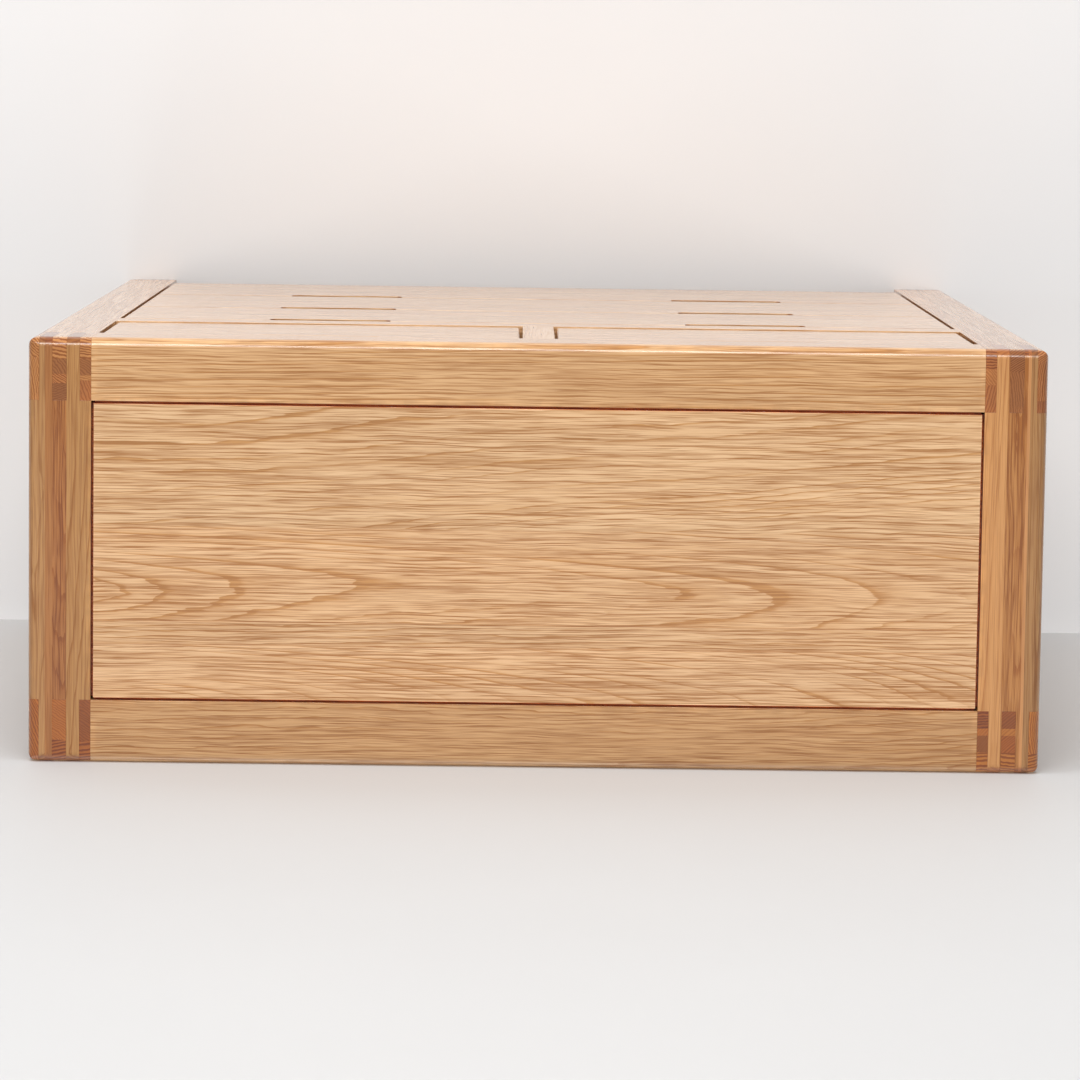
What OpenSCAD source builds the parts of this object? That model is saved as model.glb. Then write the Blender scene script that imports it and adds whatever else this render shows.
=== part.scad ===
// Oak chest of drawers: two small drawers side by side over three long ones.
// It stands on its feet with the drawer fronts facing -Y and +Z up.
// The origin is on the floor, under the middle of the chest.
// Every frame joint is a real one: comb corners, tenons, dowels and panels loose in grooves.

/* [Overall] */
// Width over the legs
chest_w = 1000; // [900:10:1100]
// Depth from the drawer fronts to the back
chest_d = 420; // [400:10:480]
// Radius of the outer edges of the frame
edge_r = 10; // [6:1:10]

/* [Comb corners] */
// Width of the outermost and innermost leg tongues
comb_outer = 11; // [11:1:14]
// Width of each of the two side rail tongues
comb_rail = 13; // [12:1:15]
// Width of the leg's middle tongue
comb_mid = 14; // [12:1:18]

/* [Heights] */
// Clear height under the lowest drawer
foot_h = 70; // [50:5:90]
// Height of the lowest long drawer front
bottom_front_h = 251; // [220:1:280]
// Height of the middle long drawer front
middle_front_h = 236; // [200:1:260]
// Height of the highest long drawer front
upper_front_h = 209; // [180:1:240]
// Height of the rail between the small and the long drawers
drawer_rail_h = 47; // [40:1:60]
// Height of the two small drawer fronts
small_front_h = 189; // [160:1:220]
// Height of the four rails that frame the top
top_rail_h = 73; // [68:1:80]
// Gap around every drawer front
drawer_gap = 3; // [2:0.5:4]

/* [Framed panels] */
// Thickness of the top and side panels
panel_t = 20; // [18:1:24]
// Shadow gap between a framed panel and its frame
panel_gap = 2.5; // [1.5:0.5:4]
// Thickness of a panel's tongue
tongue_t = 8; // [6:1:10]
// How far a tongue reaches into its groove
tongue_reach = 9; // [6:1:10]
// Spare depth behind a tongue, for the panel to swell
tongue_play = 2; // [1:0.5:3]
// Thickness of the two back panels
back_panel_t = 9; // [6:1:9]

/* [Rails] */
// Width of the upright between the small drawers
divider_w = 32; // [28:1:40]
// Depth of the drawer rail and of the upright
divider_d = 60; // [50:1:60]
// Height of the lower side and back rails
low_rail_h = 62; // [50:1:62]
// Thickness of the lower side rails
side_rail_t = 30; // [26:1:34]
// Thickness of the back frame
back_frame_t = 34; // [32:1:36]
// Width of the upright in the middle of the back
back_stile_w = 62; // [50:1:80]
// Height of the front rail behind the lowest drawer front
front_low_rail_h = 40; // [30:1:40]
// Thickness of the board that closes the underside
bottom_board_t = 9; // [6:1:12]

/* [Drawers] */
// Thickness of the drawer fronts
front_t = 22; // [20:1:24]
// Thickness of the drawer sides
side_t = 15; // [14:1:18]
// Thickness of the drawer backs
back_t = 12; // [10:1:14]
// Thickness of the drawer bottoms
drawer_bottom_t = 6; // [5:1:8]
// Length of the drawer boxes behind their fronts
box_len = 338; // [300:2:338]
// Radius of the eased edges of a drawer front
ease_r = 2; // [1:0.5:3]
// Width of a finger slot
slot_w = 126; // [100:1:140]
// Depth of a long drawer's finger slot below the front's top edge
slot_h = 22; // [18:1:26]
// Depth of a small drawer's finger slot below the front's top edge
small_slot_h = 15; // [13:1:20]
// Radius in the lower corners of a finger slot
slot_r = 8; // [4:1:10]
// Distance of each finger slot's middle from the chest's middle
slot_x = 218; // [200:1:240]
// How far the small drawer fronts stand back from the frame
small_recess = 1; // [0:0.5:2]

/* [Runners] */
// Height of the wooden runners
runner_h = 18; // [14:1:20]
// How far a runner reaches into the groove of a drawer side
runner_reach = 7; // [5:1:8]
// Running clearance above, below and beside a runner
runner_play = 0.5; // [0.3:0.1:1]
// Thickness of the partition behind the upright
partition_t = 18; // [16:1:20]

/* [Fixings] */
// Diameter of the wooden dowels in the top frame
dowel_d = 10; // [8:1:12]
// Length of the wooden dowels
dowel_len = 58; // [50:1:60]
// Shank diameter of the runner screws
screw_d = 4; // [3.5:0.5:4.5]
// Head diameter of the runner screws
screw_head_d = 8; // [7:0.5:9]

/* [Hidden] */
$fn = 48;

OAK = [0.82, 0.65, 0.45];
OAK_LEG = [0.76, 0.57, 0.38];
OAK_PANEL = [0.84, 0.68, 0.48];
DRAWER_OAK = [0.88, 0.75, 0.56];
BACK_OAK = [0.80, 0.67, 0.50];
STEEL = [0.72, 0.70, 0.62];

// How far a cutting shape runs past the face it cuts
over = 1;
leg_w = 2 * comb_outer + 2 * comb_rail + comb_mid;
// Inner faces of the legs
in_x = chest_w / 2 - leg_w;
in_y = chest_d / 2 - leg_w;
front_y = -chest_d / 2;
back_y = chest_d / 2;

// Heights, from the floor up
lower_z = foot_h;
middle_z = lower_z + bottom_front_h + drawer_gap;
upper_z = middle_z + middle_front_h + drawer_gap;
drawer_rail_z = upper_z + upper_front_h + drawer_gap;
small_z = drawer_rail_z + drawer_rail_h + drawer_gap;
top_rail_z = small_z + small_front_h + drawer_gap;
chest_h = top_rail_z + top_rail_h;

// Where the comb's two rail tongues start, from the outer face of the leg
comb_slots = [comb_outer, comb_outer + comb_rail + comb_mid];

groove_d = tongue_reach + tongue_play;
low_rail_top = foot_h + low_rail_h;
panel_z = chest_h - panel_t;
side_panel_h = top_rail_z - low_rail_top;

// The back panels lie in grooves a little behind the inner face of the back frame
back_frame_y = back_y - back_frame_t;
back_groove_inset = 5;
back_groove_y = back_frame_y + back_groove_inset;
back_panel_w = in_x - back_stile_w / 2;
// Wood left between the ends of those grooves and the comb slots
groove_stop = 1;

// The tenons: thickness, length and the shoulder left on each edge
tenon_t = 12;
tenon_len = 36;
tenon_shoulder = 10;
tenon_play = 2;
short_tenon = 20;
low_front_shoulder = 8;
// Wood left between the back face and the tenons of the back frame
back_tenon_cover = 5;
// The partition's tongues, and what is left free above and below it and them
partition_tongue = 8;
partition_gap = 10;
partition_shoulder = 20;

// The dowels: two in each end of the front and back top rails, at these heights in the rail
dowel_rise = [18, 45];
dowel_z = [for (rise = dowel_rise) top_rail_z + rise];
dowel_fit = 0.1;
dowel_y = chest_d / 2 - leg_w / 2;

// The front rail at the bottom stands behind the lowest drawer front
low_rail_clearance = 4;
front_low_rail_y = front_y + front_t + low_rail_clearance;
front_low_rail_t = 30;
front_low_rail_z = foot_h + low_rail_clearance;
board_rise = 6;
board_z = front_low_rail_z + board_rise;
board_reach = 6;
board_gap = 2;

// Drawer boxes
box_y = front_y + front_t;
box_top_drop = 40;
box_lift = 12;
low_box_lift = front_low_rail_z + front_low_rail_h + low_rail_clearance - foot_h;
tail_len = 14;
tail_w = 24;
tail_slope = 3;
tail_pitch = 45;
bottom_up = 10;
bottom_play = 1;
groove_side = 6;
back_inset = 8;
back_drop = 6;
runner_side_play = 1;
runner_groove = runner_reach + runner_side_play;
runner_set_back = 8;
runner_start = box_y + runner_set_back;
runner_end = back_frame_y;

// Screws that hold the runners to the legs and to the partition
screw_len = 32;
short_screw_len = 24;
screw_head_h = 2.4;
screw_fit = 0.1;
screw_tip_play = 1;
front_screw_inset = 44;
front_screw_y = front_y + front_screw_inset;
back_screw_inset = 50;
back_screw_y = back_y - back_screw_inset;
partition_screw_y = [-110, 130];

// Each drawer: opening's left and right edges, bottom and height of the front, lift of the box,
// middles of its finger slots, their depth, and how far the front stands back
LONG_SLOTS = [-slot_x, slot_x];
SMALL_LEFT = [-in_x, -divider_w / 2, small_z, small_front_h, box_lift, [-slot_x], small_slot_h, small_recess];
SMALL_RIGHT = [divider_w / 2, in_x, small_z, small_front_h, box_lift, [slot_x], small_slot_h, small_recess];
LONG_UPPER = [-in_x, in_x, upper_z, upper_front_h, box_lift, LONG_SLOTS, slot_h, 0];
LONG_MIDDLE = [-in_x, in_x, middle_z, middle_front_h, box_lift, LONG_SLOTS, slot_h, 0];
LONG_LOWER = [-in_x, in_x, lower_z, bottom_front_h, low_box_lift, LONG_SLOTS, slot_h, 0];

function left_x(d) = d[0] + drawer_gap;
function right_x(d) = d[1] - drawer_gap;
function front_top(d) = d[2] + d[3];
function box_bottom(d) = d[2] + d[4];
function box_top(d) = front_top(d) - box_top_drop;
function slot_middles(d) = d[5];
function slot_depth(d) = d[6];
function face_y(d) = front_y + d[7];
function runner_z(d) = (box_bottom(d) + box_top(d) - runner_h) / 2;
function tail_count(d) = floor((box_top(d) - box_bottom(d)) / tail_pitch);

// A block between two opposite corners
module block(low, high) {
    translate(low) cube(high - low);
}

// A rectangle with round corners, from the origin
module round_rect(w, h, r) {
    translate([r, 0]) square([w - 2 * r, h]);
    translate([0, r]) square([w, h - 2 * r]);
    for (x = [r, w - r]) for (y = [r, h - r]) translate([x, y]) circle(r = r);
}

// The rounded outer form that every outside piece of the frame keeps within
module outer_form() {
    intersection() {
        translate([-chest_w / 2, -chest_d / 2, -over])
            linear_extrude(chest_h + 2 * over) round_rect(chest_w, chest_d, edge_r);
        translate([-chest_w / 2, chest_d / 2 + over, -2 * edge_r]) rotate([90, 0, 0])
            linear_extrude(chest_d + 2 * over) round_rect(chest_w, chest_h + 2 * edge_r, edge_r);
        translate([-chest_w / 2 - over, -chest_d / 2, -2 * edge_r]) rotate([90, 0, 90])
            linear_extrude(chest_w + 2 * over) round_rect(chest_d, chest_h + 2 * edge_r, edge_r);
    }
}

// A flat board with tongues on its four edges and its corners left out, lying flat, centred
module tongued_board(w, h, t) {
    inner_w = w - 2 * panel_gap;
    inner_h = h - 2 * panel_gap;
    translate([-w / 2 - tongue_reach, -inner_h / 2, 0]) cube([w + 2 * tongue_reach, inner_h, t]);
    translate([-inner_w / 2, -h / 2 - tongue_reach, 0]) cube([inner_w, h + 2 * tongue_reach, t]);
}

// A framed panel lying flat: a full field that comes flush with the frame, on a thin tongue
module framed_panel(w, h) {
    tongued_board(w, h, tongue_t);
    translate([panel_gap - w / 2, panel_gap - h / 2, 0])
        cube([w - 2 * panel_gap, h - 2 * panel_gap, panel_t]);
}

// A dowel that lies along X with its middle at the origin
module dowel(d, length) {
    rotate([0, 90, 0]) cylinder(d = d, h = length, center = true);
}

// A countersunk screw: head at the origin, pointing along +X
module screw(length, fit) {
    tip = length + (fit > 0 ? screw_tip_play : 0);
    rotate([0, 90, 0]) rotate_extrude() polygon([
        [0, 0], [screw_head_d / 2 + fit, 0], [screw_d / 2 + fit, screw_head_h],
        [screw_d / 2 + fit, tip], [0, tip]
    ]);
}

// A screw with the cross recess in its head
module cross_screw(length) {
    slot_len = 4.4;
    slot_wide = 1;
    slot_deep = 1.4;
    difference() {
        screw(length, 0);
        for (a = [0, 90]) rotate([a, 0, 0])
            translate([-over, -slot_len / 2, -slot_wide / 2]) cube([slot_deep + over, slot_len, slot_wide]);
    }
}

// Countersunk holes for the runner screws in the left legs, at a distance y along the depth
module leg_screw_holes(y) {
    for (d = [LONG_UPPER, LONG_MIDDLE, LONG_LOWER, SMALL_LEFT])
        translate([-in_x + drawer_gap + runner_reach, y, runner_z(d) + runner_h / 2])
            mirror([1, 0, 0]) screw(screw_len, screw_fit);
}

// Groove of the side panel in a left leg; side is -1 at the front and +1 at the back
module side_panel_groove(side) {
    low_y = side < 0 ? -in_y - groove_d : in_y;
    block([-chest_w / 2 + panel_t - tongue_t, low_y, low_rail_top],
          [-chest_w / 2 + panel_t, low_y + groove_d, top_rail_z]);
}

// Comb slots at the head of a left leg
module comb_cuts(side) {
    low_y = side < 0 ? front_y - over : in_y - over;
    for (x = comb_slots)
        translate([-chest_w / 2 + x, low_y, top_rail_z])
            cube([comb_rail, leg_w + 2 * over, top_rail_h + over]);
}

// Bores for the dowels of the front or back top rail, at both ends
module dowel_bores(side) {
    for (end = [-1, 1]) for (z = dowel_z)
        translate([end * in_x, side * dowel_y, z])
            dowel(dowel_d + 2 * dowel_fit, dowel_len + 2 * tenon_play);
}

// Tenon of a lower side rail, as a solid or with play at its end as a mortise
module side_rail_tenons(play) {
    x = -chest_w / 2 + side_rail_t / 2;
    block([x - tenon_t / 2, -in_y - tenon_len - play, foot_h + tenon_shoulder],
          [x + tenon_t / 2, in_y + tenon_len + play, low_rail_top - tenon_shoulder]);
}

// Tenons of a rail that runs between the legs along X: centre of its depth, and its height range
module cross_tenons(y, z_low, z_high, length) {
    block([-in_x - length, y - tenon_t / 2, z_low], [in_x + length, y + tenon_t / 2, z_high]);
}

module drawer_rail_tenons(play) {
    cross_tenons(front_y + divider_d / 2, drawer_rail_z + tenon_shoulder,
                 drawer_rail_z + drawer_rail_h - tenon_shoulder, tenon_len + play);
}

module low_front_tenons(play) {
    cross_tenons(front_low_rail_y + front_low_rail_t / 2, front_low_rail_z + low_front_shoulder,
                 front_low_rail_z + front_low_rail_h - low_front_shoulder, tenon_len + play);
}

// The back rail's tenons sit near the back face, clear of the panel groove
module low_back_tenons(play) {
    cross_tenons(back_y - back_tenon_cover - tenon_t / 2, foot_h + tenon_shoulder,
                 low_rail_top - tenon_shoulder, tenon_len + play);
}

// Tenons at the head and foot of the upright between the small drawers
module divider_tenons(play) {
    block([-tenon_t / 2, front_y + tenon_shoulder, small_z - drawer_gap - short_tenon - play],
          [tenon_t / 2, front_y + divider_d - tenon_shoulder, top_rail_z + short_tenon + play]);
}

// Tenons at the head and foot of the back stile
module back_stile_tenons(play) {
    half = back_stile_w / 2 - tenon_shoulder;
    block([-half, back_y - back_tenon_cover - tenon_t, low_rail_top - short_tenon - play],
          [half, back_y - back_tenon_cover, top_rail_z + short_tenon + play]);
}

// Tongues at the front and back of the partition
module partition_tenons(play) {
    reach = partition_tongue + play;
    block([-tenon_t / 2, front_y + divider_d - reach, small_z + partition_shoulder],
          [tenon_t / 2, back_frame_y + reach, top_rail_z - partition_shoulder]);
}

// Groove for a back panel in the edge of an upright at x; stop leaves wood at both of its ends
module back_upright_groove(x, stop) {
    block([x - groove_d, back_groove_y, low_rail_top + stop],
          [x + groove_d, back_groove_y + back_panel_t, top_rail_z - stop]);
}

// Grooves for the back panels in the lower edge of the top rail and the upper edge of the low rail
module back_rail_groove(z_low) {
    block([-in_x - over, back_groove_y, z_low],
          [in_x + over, back_groove_y + back_panel_t, z_low + groove_d + over]);
}

// A front leg, drawn as the left one
module front_leg() {
    color(OAK_LEG) intersection() {
        difference() {
            block([-chest_w / 2, front_y, 0], [-in_x, front_y + leg_w, chest_h]);
            comb_cuts(-1);
            side_panel_groove(-1);
            dowel_bores(-1);
            side_rail_tenons(tenon_play);
            drawer_rail_tenons(tenon_play);
            low_front_tenons(tenon_play);
            leg_screw_holes(front_screw_y);
        }
        outer_form();
    }
}

// A back leg, drawn as the left one
module back_leg() {
    color(OAK_LEG) intersection() {
        difference() {
            block([-chest_w / 2, back_y - leg_w, 0], [-in_x, back_y, chest_h]);
            comb_cuts(1);
            side_panel_groove(1);
            dowel_bores(1);
            side_rail_tenons(tenon_play);
            low_back_tenons(tenon_play);
            back_upright_groove(-in_x, groove_stop);
            leg_screw_holes(back_screw_y);
        }
        outer_form();
    }
}

// A side rail of the top frame, drawn as the left one, with two tongues through each leg's head
module side_top_rail() {
    outer = -chest_w / 2;
    color(OAK) intersection() {
        difference() {
            union() {
                block([outer, -in_y, top_rail_z], [-in_x, in_y, chest_h]);
                for (x = comb_slots)
                    block([outer + x, front_y, top_rail_z], [outer + x + comb_rail, back_y, chest_h]);
            }
            block([-in_x - groove_d, -in_y, panel_z], [-in_x + over, in_y, panel_z + tongue_t]);
            block([outer + panel_t - tongue_t, -in_y, top_rail_z - over],
                  [outer + panel_t, in_y, top_rail_z + groove_d]);
            dowel_bores(-1);
            dowel_bores(1);
        }
        outer_form();
    }
}

module top_rail_front() {
    color(OAK) intersection() {
        difference() {
            block([-in_x, front_y, top_rail_z], [in_x, -in_y, chest_h]);
            block([-in_x - over, -in_y - groove_d, panel_z],
                  [in_x + over, -in_y + over, panel_z + tongue_t]);
            dowel_bores(-1);
            divider_tenons(tenon_play);
        }
        outer_form();
    }
}

module top_rail_back() {
    color(OAK) intersection() {
        difference() {
            block([-in_x, in_y, top_rail_z], [in_x, back_y, chest_h]);
            block([-in_x - over, in_y - over, panel_z],
                  [in_x + over, in_y + groove_d, panel_z + tongue_t]);
            dowel_bores(1);
            back_rail_groove(top_rail_z - over);
            back_stile_tenons(tenon_play);
        }
        outer_form();
    }
}

module top_panel() {
    color(OAK_PANEL) translate([0, 0, panel_z]) framed_panel(2 * in_x, 2 * in_y);
}

// A lower side rail, drawn as the left one
module side_low_rail() {
    outer = -chest_w / 2;
    color(OAK) difference() {
        union() {
            block([outer, -in_y, foot_h], [outer + side_rail_t, in_y, low_rail_top]);
            side_rail_tenons(0);
        }
        block([outer + panel_t - tongue_t, -in_y, low_rail_top - groove_d],
              [outer + panel_t, in_y, low_rail_top + over]);
        bottom_board_shape(tongue_play);
    }
}

// A side panel, drawn as the left one
module side_panel() {
    color(OAK_PANEL) translate([-chest_w / 2 + panel_t, 0, low_rail_top + side_panel_h / 2])
        rotate([0, -90, 0]) framed_panel(side_panel_h, 2 * in_y);
}

module drawer_rail() {
    color(OAK) difference() {
        union() {
            block([-in_x, front_y, drawer_rail_z], [in_x, front_y + divider_d, small_z - drawer_gap]);
            drawer_rail_tenons(0);
        }
        divider_tenons(tenon_play);
    }
}

module divider_upright() {
    color(OAK) difference() {
        union() {
            block([-divider_w / 2, front_y, small_z - drawer_gap],
                  [divider_w / 2, front_y + divider_d, top_rail_z]);
            divider_tenons(0);
        }
        partition_tenons(tenon_play);
    }
}

module partition() {
    color(BACK_OAK) difference() {
        union() {
            block([-partition_t / 2, front_y + divider_d, small_z + partition_gap],
                  [partition_t / 2, back_frame_y, top_rail_z - partition_gap]);
            partition_tenons(0);
        }
        middle_screws(screw_fit);
    }
}

module low_rail_front() {
    color(OAK) difference() {
        union() {
            block([-in_x, front_low_rail_y, front_low_rail_z],
                  [in_x, front_low_rail_y + front_low_rail_t, front_low_rail_z + front_low_rail_h]);
            low_front_tenons(0);
        }
        bottom_board_shape(tongue_play);
    }
}

module low_rail_back() {
    color(OAK) difference() {
        union() {
            block([-in_x, back_frame_y, foot_h], [in_x, back_y, low_rail_top]);
            low_back_tenons(0);
        }
        back_rail_groove(low_rail_top - groove_d);
        back_stile_tenons(tenon_play);
        bottom_board_shape(tongue_play);
    }
}

module back_stile() {
    color(OAK) difference() {
        union() {
            block([-back_stile_w / 2, back_frame_y, low_rail_top], [back_stile_w / 2, back_y, top_rail_z]);
            back_stile_tenons(0);
        }
        for (x = [-back_stile_w / 2, back_stile_w / 2]) back_upright_groove(x, -over);
        partition_tenons(tenon_play);
    }
}

// A back panel, drawn as the left one
module back_panel() {
    middle = (in_x + back_stile_w / 2) / 2;
    color(BACK_OAK)
        translate([-middle, back_groove_y + back_panel_t, low_rail_top + side_panel_h / 2])
            rotate([90, 0, 0]) tongued_board(back_panel_w, side_panel_h, back_panel_t);
}

// The board under the drawers, held in the four lower rails; play widens its grooves' depth only
module bottom_board_shape(play) {
    reach = board_reach + play;
    side_x = chest_w / 2 - side_rail_t;
    front_edge = front_low_rail_y + front_low_rail_t;
    top = board_z + bottom_board_t;
    block([board_gap - in_x, front_edge - reach, board_z], [in_x - board_gap, back_frame_y + reach, top]);
    block([-side_x - reach, board_gap - in_y, board_z], [side_x + reach, in_y - board_gap, top]);
}

module bottom_board() {
    color(BACK_OAK) bottom_board_shape(0);
}

// One runner: inner and outer faces along X, start along Y, and its underside
module runner(x_low, x_high, y_low, z) {
    block([x_low, y_low, z], [x_high, runner_end, z + runner_h]);
}

// The four runners on the left legs
module side_runners() {
    face = -in_x + drawer_gap + runner_reach;
    color(DRAWER_OAK) difference() {
        for (d = [SMALL_LEFT, LONG_UPPER, LONG_MIDDLE, LONG_LOWER])
            runner(-in_x, face, runner_start, runner_z(d));
        leg_screw_holes(front_screw_y);
        leg_screw_holes(back_screw_y);
    }
}

// The screws of the two middle runners
module middle_screws(fit) {
    face = divider_w / 2 + drawer_gap + runner_reach;
    for (side = [0, 1]) mirror([side, 0, 0]) for (y = partition_screw_y)
        translate([face, y, runner_z(SMALL_RIGHT) + runner_h / 2]) mirror([1, 0, 0])
            if (fit > 0) screw(short_screw_len, fit);
            else cross_screw(short_screw_len);
}

// The two runners on the partition, behind the upright
module runners_middle() {
    face = divider_w / 2 + drawer_gap + runner_reach;
    color(DRAWER_OAK) difference() {
        for (side = [0, 1]) mirror([side, 0, 0])
            block([partition_t / 2, front_y + divider_d, runner_z(SMALL_RIGHT)],
                  [face, back_frame_y, runner_z(SMALL_RIGHT) + runner_h]);
        middle_screws(screw_fit);
    }
}

// Eight dowels, two in each joint between a top rail and a leg
module corner_dowels() {
    color(DRAWER_OAK)
        for (side = [-1, 1]) for (end = [-1, 1]) for (z = dowel_z)
            translate([end * in_x, side * dowel_y, z]) dowel(dowel_d, dowel_len);
}

module runner_screws() {
    color(STEEL) {
        for (side = [0, 1]) mirror([side, 0, 0]) for (y = [front_screw_y, back_screw_y])
            for (d = [SMALL_LEFT, LONG_UPPER, LONG_MIDDLE, LONG_LOWER])
                translate([-in_x + drawer_gap + runner_reach, y, runner_z(d) + runner_h / 2])
                    mirror([1, 0, 0]) cross_screw(screw_len);
        middle_screws(0);
    }
}

// Dovetail tails that join a drawer side to its front, cut in a slab from x_low to x_high
module tails(d, x_low, x_high) {
    count = tail_count(d);
    pitch = (box_top(d) - box_bottom(d)) / count;
    half_root = tail_w / 2 - tail_slope;
    half_tip = tail_w / 2;
    for (i = [0 : count - 1])
        translate([x_low, box_y, box_bottom(d) + pitch * (i + 0.5)])
            rotate([90, 0, 90]) linear_extrude(x_high - x_low)
                polygon([[0, -half_root], [0, half_root], [-tail_len, half_tip], [-tail_len, -half_tip]]);
}

// The board that becomes a drawer front: its front edges are eased, its back edges are square
module eased_front(d) {
    w = right_x(d) - left_x(d);
    deep = front_t + 2 * ease_r;
    intersection() {
        block([left_x(d), face_y(d), d[2]], [right_x(d), box_y, front_top(d)]);
        translate([left_x(d), face_y(d), d[2] - over])
            linear_extrude(d[3] + 2 * over) round_rect(w, deep, ease_r);
        translate([left_x(d) - over, face_y(d), d[2]]) rotate([90, 0, 90])
            linear_extrude(w + 2 * over) round_rect(deep, d[3], ease_r);
    }
}

module drawer_front(d) {
    groove_z = box_bottom(d) + bottom_up;
    color(OAK_PANEL) difference() {
        eased_front(d);
        for (x = slot_middles(d))
            translate([x - slot_w / 2, box_y + over, front_top(d) - slot_depth(d)]) rotate([90, 0, 0])
                linear_extrude(front_t + 2 * over) round_rect(slot_w, slot_depth(d) + 2 * slot_r, slot_r);
        tails(d, left_x(d) - over, left_x(d) + side_t);
        tails(d, right_x(d) - side_t, right_x(d) + over);
        block([left_x(d) + side_t, box_y - groove_side - over, groove_z],
              [right_x(d) - side_t, box_y + over, groove_z + drawer_bottom_t]);
    }
}

// A drawer side, drawn as the left one
module drawer_side(d) {
    x = left_x(d);
    color(DRAWER_OAK) difference() {
        union() {
            block([x, box_y, box_bottom(d)], [x + side_t, box_y + box_len, box_top(d)]);
            tails(d, x, x + side_t);
        }
        block([x - over, runner_start - runner_play, runner_z(d) - runner_play],
              [x + runner_groove, box_y + box_len + over, runner_z(d) + runner_h + runner_play]);
        drawer_bottom_shape(d, bottom_play);
        drawer_back_shape(d);
    }
}

// The same side, turned round to be the right one
module drawer_side_right(d) {
    middle = (d[0] + d[1]) / 2;
    translate([middle, 0, 0]) mirror([1, 0, 0]) translate([-middle, 0, 0]) drawer_side(d);
}

// The back stands on the bottom and is housed in both sides
module drawer_back_shape(d) {
    y = box_y + box_len - back_inset - back_t;
    block([left_x(d) + side_t - groove_side, y, box_bottom(d) + bottom_up + drawer_bottom_t],
          [right_x(d) - side_t + groove_side, y + back_t, box_top(d) - back_drop]);
}

module drawer_back(d) {
    color(DRAWER_OAK) drawer_back_shape(d);
}

// The bottom lies in grooves of the sides and the front; play deepens the side grooves
module drawer_bottom_shape(d, play) {
    z = box_bottom(d) + bottom_up;
    reach = groove_side - bottom_play + play;
    back_edge = box_y + box_len - back_inset;
    block([left_x(d) + side_t - reach, box_y, z],
          [right_x(d) - side_t + reach, back_edge, z + drawer_bottom_t]);
    block([left_x(d) + side_t + bottom_play, box_y - groove_side, z],
          [right_x(d) - side_t - bottom_play, back_edge, z + drawer_bottom_t]);
}

module drawer_bottom(d) {
    color(BACK_OAK) drawer_bottom_shape(d, 0);
}

front_leg();  // leg_front_left
mirror([1, 0, 0]) front_leg();  // leg_front_right
back_leg();  // leg_back_left
mirror([1, 0, 0]) back_leg();  // leg_back_right
side_top_rail();  // side_top_rail_left
mirror([1, 0, 0]) side_top_rail();  // side_top_rail_right
top_rail_front();
top_rail_back();
top_panel();
side_low_rail();  // side_low_rail_left
mirror([1, 0, 0]) side_low_rail();  // side_low_rail_right
side_panel();  // side_panel_left
mirror([1, 0, 0]) side_panel();  // side_panel_right
drawer_rail();
divider_upright();
partition();
low_rail_front();
low_rail_back();
back_stile();
back_panel();  // back_panel_left
mirror([1, 0, 0]) back_panel();  // back_panel_right
bottom_board();
side_runners();  // runners_left
mirror([1, 0, 0]) side_runners();  // runners_right
runners_middle();
corner_dowels();
runner_screws();
drawer_front(SMALL_LEFT);  // small_left_front
drawer_side(SMALL_LEFT);  // small_left_side_left
drawer_side_right(SMALL_LEFT);  // small_left_side_right
drawer_back(SMALL_LEFT);  // small_left_back
drawer_bottom(SMALL_LEFT);  // small_left_bottom
drawer_front(SMALL_RIGHT);  // small_right_front
drawer_side(SMALL_RIGHT);  // small_right_side_left
drawer_side_right(SMALL_RIGHT);  // small_right_side_right
drawer_back(SMALL_RIGHT);  // small_right_back
drawer_bottom(SMALL_RIGHT);  // small_right_bottom
drawer_front(LONG_UPPER);  // long_upper_front
drawer_side(LONG_UPPER);  // long_upper_side_left
drawer_side_right(LONG_UPPER);  // long_upper_side_right
drawer_back(LONG_UPPER);  // long_upper_back
drawer_bottom(LONG_UPPER);  // long_upper_bottom
drawer_front(LONG_MIDDLE);  // long_middle_front
drawer_side(LONG_MIDDLE);  // long_middle_side_left
drawer_side_right(LONG_MIDDLE);  // long_middle_side_right
drawer_back(LONG_MIDDLE);  // long_middle_back
drawer_bottom(LONG_MIDDLE);  // long_middle_bottom
drawer_front(LONG_LOWER);  // long_lower_front
drawer_side(LONG_LOWER);  // long_lower_side_left
drawer_side_right(LONG_LOWER);  // long_lower_side_right
drawer_back(LONG_LOWER);  // long_lower_back
drawer_bottom(LONG_LOWER);  // long_lower_bottom
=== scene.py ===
import math

import bpy
from mathutils import Matrix, Vector


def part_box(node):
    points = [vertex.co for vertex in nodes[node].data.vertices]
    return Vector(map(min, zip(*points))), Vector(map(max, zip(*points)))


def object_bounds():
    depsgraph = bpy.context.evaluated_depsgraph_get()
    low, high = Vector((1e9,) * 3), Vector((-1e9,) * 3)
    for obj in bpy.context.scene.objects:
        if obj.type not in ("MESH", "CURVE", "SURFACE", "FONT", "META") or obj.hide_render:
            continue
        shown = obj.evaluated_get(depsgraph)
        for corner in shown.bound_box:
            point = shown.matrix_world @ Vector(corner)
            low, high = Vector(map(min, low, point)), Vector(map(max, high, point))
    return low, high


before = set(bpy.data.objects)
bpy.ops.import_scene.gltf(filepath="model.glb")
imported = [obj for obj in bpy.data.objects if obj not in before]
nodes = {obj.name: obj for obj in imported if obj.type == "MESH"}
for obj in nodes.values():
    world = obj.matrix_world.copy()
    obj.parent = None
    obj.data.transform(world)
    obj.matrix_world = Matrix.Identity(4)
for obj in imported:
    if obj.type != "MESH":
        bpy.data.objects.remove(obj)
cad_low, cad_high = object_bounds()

MM = 0.001

# ---------------------------------------------------------------- helpers for shader nodes

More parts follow.
